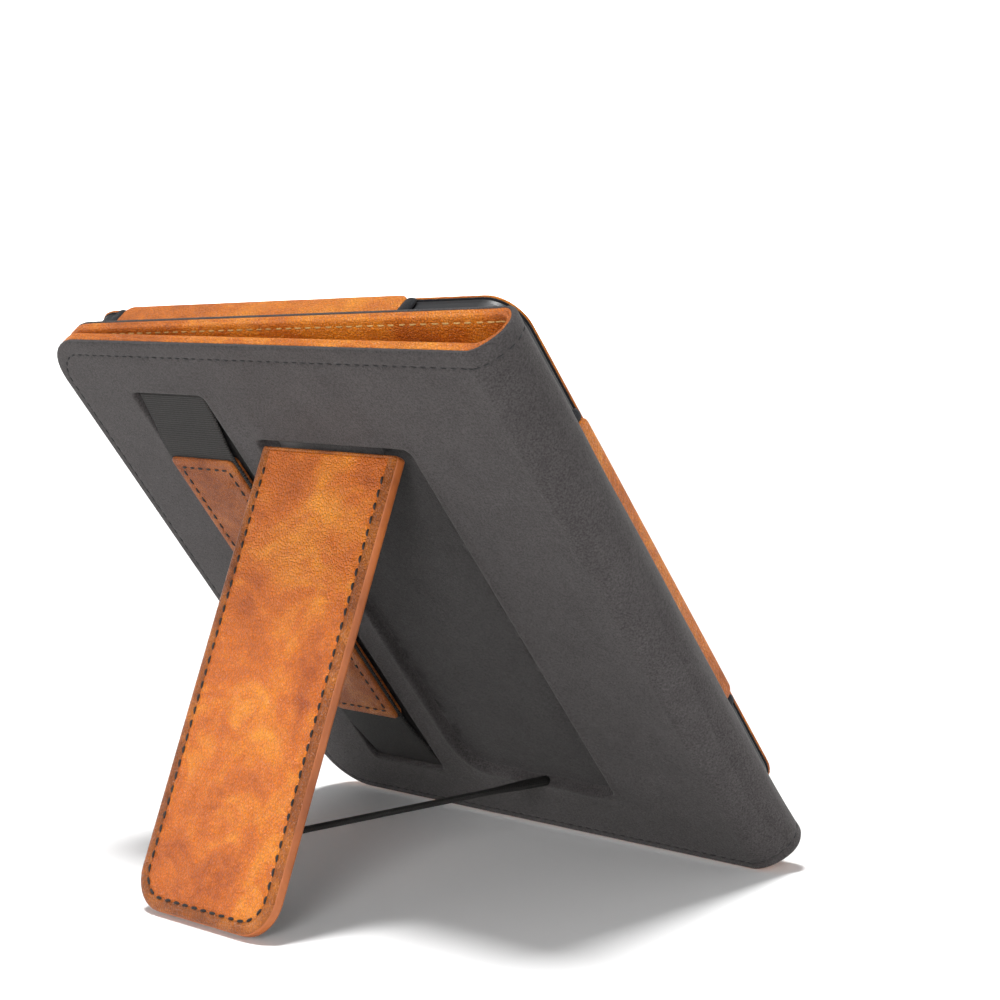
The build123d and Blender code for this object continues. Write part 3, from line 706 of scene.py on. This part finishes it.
bm = bmesh.new()
plate(bm, stand_outline, [(5.2, -1.55), (4.3, -1.55), (3.6, -1.5), (3.25, -1.36), (3.0, -1.28),
                          (2.75, -1.36), (2.4, -1.5), (1.9, -1.56), (1.3, -1.56), (0.8, -1.5),
                          (0.4, -1.34), (0.18, -1.1), (0.12, -0.8), (0.14, -0.6)],
      stand_height, 2.4, (4, 3))
line = [Vector((p.x, p.y, -1.34)) for p in stand_outline(3.0)]
start = next(k for k, p in enumerate(line) if p.y > STAND_TOP - 3.6)
line = [p for p in line[start:] + line[:start] if p.y < STAND_TOP - 3.05]
stitch_line(bm, line, [Vector((0, 0, -1))] * len(line), 3.2, 2.2, 0.36, 1, lean=0.12)
stitch_line(bm, [p + Vector((0, 0, 0.05)) for p in line], [Vector((0, 0, -1))] * len(line),
            3.2, 1.5, 0.24, 2)
finish_piece(bm, "kickstand_leather_soft", stand, (tan_stand, thread_dark, thread_tan, tan_burnished),
             "kickstand", ("kickstand_leather",))

bm = bmesh.new()
BAND = ((1.4, -1.0), (0.5, -1.06), (0.12, -1.0), (-0.02, -0.7), (-0.06, -0.1), (-0.06, 0.6),
        (0.0, 1.15), (0.2, 1.5), (0.6, 1.66), (1.4, 1.6))
rings = [ring_of(bm, stand_outline(i), z) for i, z in BAND]
for a, b in zip(rings, rings[1:] + rings[:1]):
    bridge(bm, a, b)
finish_piece(bm, "kickstand_band_soft", stand, (painted,), "kickstand",
             ("kickstand_edge_band",))
# the stand's back takes the darker grey lining, painted shade
bm = bmesh.new()
plate(bm, stand_outline, [(4, 1.5), (1.6, 1.5), (1.25, 1.42), (1.1, 1.2), (1.1, 0.9)],
      lambda x, y: soft_noise(x, y, 14, 0.06, 6.0), 4.0)
finish_piece(bm, "kickstand_lining_soft", stand, (grey_painted_shade,), "kickstand",
             ("kickstand_lining",))

# ---- hinge tape from the board of the cover to the stand
TAPE_ON_STAND = ((-4.5, -0.2), (-2.2, -0.15), (-0.9, -0.1))
TAPE_ON_COVER = ((136.6, 0.35), (138.6, 0.5), (142.6, 0.62))
tape_path = [cover.inverted() @ (stand @ Vector((0, y, z))) for y, z in TAPE_ON_STAND]
tape_line = [(p.y, p.z) for p in tape_path] + list(TAPE_ON_COVER)
bm = bmesh.new()
rows = []
for y, z in tape_line:
    rows.append([bm.verts.new((STAND_HINGE[0] + x, y, z + dz)) for dz in (-0.12, 0.12)
                 for x in ((-18, -6, 6, 18) if dz < 0 else (18, 6, -6, -18))])
for a, b in zip(rows, rows[1:]):
    bridge(bm, a, b)
bm.faces.new(rows[0])
bm.faces.new(rows[-1])
# the tape takes the darker grey lining, painted shade
tape = finish_piece(bm, "hinge_tape_soft", cover, (grey_painted_shade,), None,
                    ("stand_hinge_tape",))
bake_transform(tape)


# ---------------------------------------------------------------- hand strap
STRAP_X = -38.5


def strip(bm, path, section):
    """Sweeps a closed section (x, along the normal) down a path of (y, z)."""
    rows = []
    for k, (y, z) in enumerate(path):
        a, b = path[max(k - 1, 0)], path[min(k + 1, len(path) - 1)]
        t = Vector((b[0] - a[0], b[1] - a[1])).normalized()
        rows.append([bm.verts.new((STRAP_X + x, y - t.y * n, z + t.x * n)) for x, n in section])
    for a, b in zip(rows, rows[1:]):
        bridge(bm, a, b)
    bm.faces.new(rows[0])
    bm.faces.new(rows[-1])


def spread(points, count):
    """Even samples along a soft line through the points."""
    return [tuple(on_curve(points, (len(points) - 1) * k / count)) for k in range(count + 1)]


bm = bmesh.new()
half, thick = 12.5, 0.42
section = [(-half + 0.15, -thick), (-half + 0.9, -thick * 0.8)]
section += [(-half + 2.0 + (2 * half - 4) * k / 12, -thick) for k in range(13)]
section += [(half - 0.9, -thick * 0.8), (half - 0.15, -thick), (half, 0), (half - 0.15, thick),
            (0, thick), (-half + 0.15, thick), (-half, 0)]
strip(bm, spread(((16.3, 1.4), (24, 0.3), (37.6, -1.2), (60, -1.25), (85, -1.25), (110, -1.25), (132.4, -1.2),
                  (142, 0.3), (150.7, 1.4)), 90), section)
for side in (-1, 1):
    for k in range(int(134 / 1.1)):
        y = 17 + k * 1.1
        z = 1.4 - 2.6 * ease((y - 16.3) / 21.3) if y < 60 else 1.4 - 2.6 * ease((150.7 - y) / 18.3)
        tip = Vector((STRAP_X + side * (half + 0.05), y, z))
        size = 0.32
        loop = [bm.verts.new(tip + Vector((side * size * math.cos(a), size * 1.2 * math.sin(a), 0.0)))
                for a in (math.radians(60 * j) for j in range(6))]
        over = bm.verts.new(tip + Vector((0, 0, -size)))
        under = bm.verts.new(tip + Vector((0, 0, size)))
        for j in range(6):
            bm.faces.new((loop[j], loop[(j + 1) % 6], over))
            bm.faces.new((loop[(j + 1) % 6], loop[j], under))
finish_piece(bm, "strap_elastic_soft", cover, (elastic,), "cover", ("strap_elastic",))

GRIP_HALF, GRIP_LOW, GRIP_HIGH = 12.2, 38.1, 131.9


def grip_outline(i):
    return rounded(STRAP_X - GRIP_HALF, STRAP_X + GRIP_HALF, GRIP_LOW, GRIP_HIGH, (2, 2, 2, 2), i, 3.5, 5)


def grip_height(x, y):
    u = (x - STRAP_X) / GRIP_HALF
    calm = ease((GRIP_HALF - 3.6 - abs(x - STRAP_X)) / 2) * ease((y - GRIP_LOW - 3.6) / 2)
    calm *= ease((GRIP_HIGH - 3.6 - y) / 2)
    return calm * (soft_noise(x, y, 9, 0.06, 8.0) - 0.24 * (1 - u * u) ** 2)


bm = bmesh.new()
plate(bm, grip_outline, [(4.4, -2.62), (3.7, -2.6), (3.3, -2.5), (3.05, -2.42), (2.8, -2.5), (2.4, -2.6),
                         (1.4, -2.6), (0.6, -2.5), (0.15, -2.25), (0.0, -1.9), (0.2, -1.6)],
      grip_height, 2.4)
line = [Vector((p.x, p.y, -2.47)) for p in grip_outline(3.05)]
stitch_line(bm, line, [Vector((0, 0, -1))] * len(line), 3.1, 2.1, 0.33, 1, True, lean=0.12)
stitch_line(bm, line, [Vector((0, 0, -1))] * len(line), 3.1, 1.4, 0.24, 2, True)
# the grip takes the darker tan leather, painted shade
finish_piece(bm, "strap_grip_soft", cover, (tan_grip_shaded, thread_dark, thread_tan), "cover",
             ("strap_grip_outer",))
bm = bmesh.new()
plate(bm, grip_outline, [(3, 0.22), (1, 0.2), (0.3, 0.1), (0, -0.25), (0.2, -0.7)], nothing, 4.0)
# the grip's back takes the darker tan leather too, painted shade
finish_piece(bm, "strap_grip_back_soft", cover, (tan_grip_shaded,), "cover",
             ("strap_grip_inner",))

# ---------------------------------------------------------------- sleeve that holds the reader
RX, RY, RHX, RHY, RR = -75.2, 84.0, 72.0, 80.0, 9.0


def reader_loop(grow):
    """The reader's outline, grown outwards, or drawn inwards with smaller corners."""
    out, inwards = max(grow, 0), max(-grow, 0)
    return rounded(RX - RHX - out, RX + RHX + out, RY - RHY - out, RY + RHY + out,
                   (RR, RR, RR, RR), inwards, 5.0, 9)


def frame_band(name, section, materials, replaced):
    """A closed ring round the screen; section is (grow from the reader's outline, z)."""
    bm = bmesh.new()
    rings = [ring_of(bm, reader_loop(g), z) for g, z in section]
    for a, b in zip(rings, rings[1:] + rings[:1]):
        bridge(bm, a, b)
    if len(materials) > 1:
        for inset in (-1.2, -3.6):
            line = [Vector((p.x, p.y, 12.16)) for p in reader_loop(inset)]
            stitch_line(bm, line, [Vector((0, 0, 1))] * len(line), 3.0, 2.0, 0.22, 1, True)
    return finish_piece(bm, name, tray, materials, "reader", replaced)


frame_band("sleeve_frame_soft", [(-4.5, 11.75), (-4.5, 12.0), (-4.3, 12.15), (-3.6, 12.2), (-1.2, 12.2),
                                 (-0.1, 12.18), (0.25, 12.05), (0.35, 11.8), (0.2, 11.62), (-2.0, 11.6),
                                 (-4.2, 11.62)], (tan, thread_tan), ("sleeve_frame",))
frame_band("sleeve_frame_lining", [(-4.3, 11.3), (-4.35, 11.55), (0.1, 11.55), (0.16, 11.4), (0.1, 11.26),
                                   (-4.0, 11.26)], (black_lining_and_shadow,), ())

WALL_LOW, WALL_HIGH = 3.2, 12.1


def sleeve_wall(name, node, middle, length, turn):
    """A leather wall that folds up from the tray and joins the frame; its ends are rounded off."""
    low, high = WALL_LOW, WALL_HIGH
    half = length / 2

    def outline(i):
        return rounded(-half, half, low, high, (0.5, 2.6, 2.6, 0.5), i, 4.0, 6)

    def swell(x, y):
        v = (y - low) / (high - low)
        crown = 0.28 * math.sin(math.pi * min(max(v, 0), 1)) * (1 - (x / half) ** 8)
        return crown + soft_noise(x, y, 12, 0.05)

    # local x along the wall, y up from the tray, z outwards
    here = tray @ Matrix.Translation(middle) @ Matrix.Rotation(turn, 4, "Z") @ Matrix(
        ((1, 0, 0, 0), (0, 0, -1, 0), (0, 1, 0, 0), (0, 0, 0, 1)))
    bm = bmesh.new()
    plate(bm, outline, [(1.6, 0.7), (0.8, 0.68), (0.3, 0.56), (0.05, 0.3), (0, 0.0), (0.05, -0.3),
                        (0.3, -0.5), (0.8, -0.55)], swell, 2.6)
    finish_piece(bm, name, here, (tan,), "reader", (node,))


sleeve_wall("sleeve_top_soft", "sleeve_wall_top", (RX + 8, RY + RHY + 0.8, 0), 98, math.pi)
sleeve_wall("sleeve_bottom_soft", "sleeve_wall_bottom", (RX, RY - RHY - 0.8, 0), 84, 0)
sleeve_wall("sleeve_spine_soft", "sleeve_wall_spine_side", (RX - RHX - 0.8, RY, 0), 91, -math.pi / 2)
sleeve_wall("sleeve_free_soft", "sleeve_wall_free_side", (RX + RHX + 0.8, RY, 0), 91, math.pi / 2)

# black lumps at both ends of each wall, painted shadow that stands in for the dark gap between the reader's
# side and the wall: (x, y, half width, half depth)
END_MIDDLE, END_HALF = 7.6, 3.9
bm = bmesh.new()
ENDS = [(RX + 8 + s * 50.2, RY + RHY + 0.75, 1.9, 0.85) for s in (-1, 1)]
ENDS += [(RX + s * 43.2, RY - RHY - 0.75, 1.9, 0.85) for s in (-1, 1)]
ENDS += [(RX + e * (RHX + 0.75), RY + s * 46.7, 0.85, 1.9) for e in (-1, 1) for s in (-1, 1)]
for cx, cy, ax, ay in ENDS:
    rings = []
    for j in range(1, 12):
        v = -1 + 2 * j / 12
        size = (1 - abs(v) ** 3) ** (1 / 3)
        z = END_MIDDLE + END_HALF * v
        rings.append([bm.verts.new((cx + ax * size * math.cos(a), cy + ay * size * math.sin(a), z))
                      for a in (2 * math.pi * i / 14 for i in range(14))])
    for a, b in zip(rings, rings[1:]):
        bridge(bm, a, b)
    bm.faces.new(rings[0])
    bm.faces.new(rings[-1])
finish_piece(bm, "sleeve_shadow_ends", tray, (black_lining_and_shadow,), "reader")

# ---------------------------------------------------------------- tether between the stand well and the stand
tether_start = cover @ Vector((-91.3, 18.6, 1.4))
tether_end = stand @ Vector((-2.7, -95.0, 1.9))
path = [tether_start.lerp(tether_end, k / 40) for k in range(41)]
TETHER_SECTION = ((-1.5, 0), (-1.3, -0.55), (-0.5, -0.8), (0.5, -0.8), (1.3, -0.55), (1.5, 0),
                  (1.3, 0.55), (0.5, 0.8), (-0.5, 0.8), (-1.3, 0.55))
bm = bmesh.new()
whole = tether_end - tether_start
way, span = whole.normalized(), whole.length
flat = way.cross(Vector((0, 0, 1))).normalized()
rows = []
for k, p in enumerate(path):
    turn = math.radians(-35 + 55 * ease(k / 12))
    wide = (flat * math.cos(turn) + way.cross(flat) * math.sin(turn))
    high = way.cross(wide)
    rows.append([bm.verts.new(p + MM * (wide * x + high * z)) for x, z in TETHER_SECTION])
for a, b in zip(rows, rows[1:]):
    bridge(bm, a, b)
bm.faces.new(rows[0])
bm.faces.new(rows[-1])
tether = finish_piece(bm, "stand_tether_ribbon", Matrix.Identity(4), (ribbon,), None,
                      ("stand_tether",))
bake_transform(tether)

# ---------------------------------------------------------------- carried-over solids
FINISH = {
    "tray_board": board, "cover_board": board, "kickstand_board": board,
    "tray_magnets": magnet, "cover_magnets": magnet, "rear_housing": housing, "battery": cell,
    "logic_board": green, "board_shield": metal, "usb_port": steel, "mid_frame": metal,
    "housing_screws": steel, "display_panel": paper, "light_guide": film, "cover_lens": lens,
    "front_bezel": bezel, "page_button_lower": bezel, "page_button_upper": bezel,
    "page_switch_board": green, "page_switches": steel, "power_button": housing, "power_switch": steel,
}
for name, material in FINISH.items():
    for place in frame["nodes"][name].material_slots:
        place.material = material

# ---------------------------------------------------------------- floor, lights, camera
FLOOR_SIZE, FLOOR_DROP, WORLD_LIGHT = 14, 0.0004, 0.26
CAMERA_AT, CAMERA_AIM, CAMERA_LENS = (-0.407, 0.398, 0.147), (-0.0137, -0.0228, 0.0916), 82.3
floor_mat, floor_tree, floor_shader = nodes_of("floor_paper")
floor_at = coordinates(floor_tree)
floor_tree.links.new(ramp(floor_tree, noise_of(floor_tree, floor_at, 3), ((0.3, 0.93), (0.7, 0.95))),
                     floor_shader.inputs["Base Color"])
floor_shader.inputs["Roughness"].default_value = 0.9
floor_shader.inputs["Specular IOR Level"].default_value = 0.1
bpy.ops.mesh.primitive_plane_add(size=FLOOR_SIZE, location=(0, 0, -FLOOR_DROP))
floor = bpy.context.object
floor.name = "floor"
floor.data.materials.append(floor_mat)

# a low white wall all round, far off, so that the paper runs on to the horizon (metres)
WALL_FAR, WALL_RINGS = 6, (-0.01, 0.5, 1.3)
wall_mat, wall_tree, wall_shader = nodes_of("wall_paper")
wall_tone = ramp(wall_tree, noise_of(wall_tree, coordinates(wall_tree), 2), ((0.3, 0.98), (0.7, 1.0)))
wall_tree.links.new(wall_tone, wall_shader.inputs["Base Color"])
wall_tree.links.new(wall_tone, wall_shader.inputs["Emission Color"])
wall_shader.inputs["Emission Strength"].default_value = 1.05
bm = bmesh.new()
rings = []
for z in WALL_RINGS:
    rings.append([bm.verts.new((WALL_FAR * math.cos(a), WALL_FAR * math.sin(a), z))
                  for a in (math.radians(5 * k) for k in range(72))])
for a, b in zip(rings, rings[1:]):
    bridge(bm, a, b)
mesh = bpy.data.meshes.new("far_wall")
bm.to_mesh(mesh)
bm.free()
mesh.materials.append(wall_mat)
far_wall = bpy.data.objects.new("far_wall", mesh)
bpy.context.scene.collection.objects.link(far_wall)

world = bpy.data.worlds.new("studio")
world.use_nodes = True
world.node_tree.nodes["Background"].inputs["Color"].default_value = (1, 1, 1, 1)
world.node_tree.nodes["Background"].inputs["Strength"].default_value = WORLD_LIGHT
bpy.context.scene.world = world


def sun_light(name, from_where, softness, power):
    lamp = bpy.data.lights.new(name, "SUN")
    lamp.energy = power
    lamp.angle = math.radians(softness)
    obj = bpy.data.objects.new(name, lamp)
    obj.rotation_euler = (-Vector(from_where)).to_track_quat("-Z", "Y").to_euler()
    bpy.context.scene.collection.objects.link(obj)


sun_light("overhead", (0.1, 0.05, 1.0), 12, 3.0)
sun_light("front", (-0.55, 0.9, 0.34), 18, 1.5)

lens_data = bpy.data.cameras.new("camera")
lens_data.lens = CAMERA_LENS
lens_data.sensor_width = 36
camera = bpy.data.objects.new("camera", lens_data)
camera.location = CAMERA_AT
camera.rotation_euler = (Vector(CAMERA_AIM) - camera.location).to_track_quat("-Z", "Y").to_euler()
bpy.context.scene.collection.objects.link(camera)
bpy.context.scene.camera = camera
bpy.context.scene.view_settings.view_transform = "Standard"
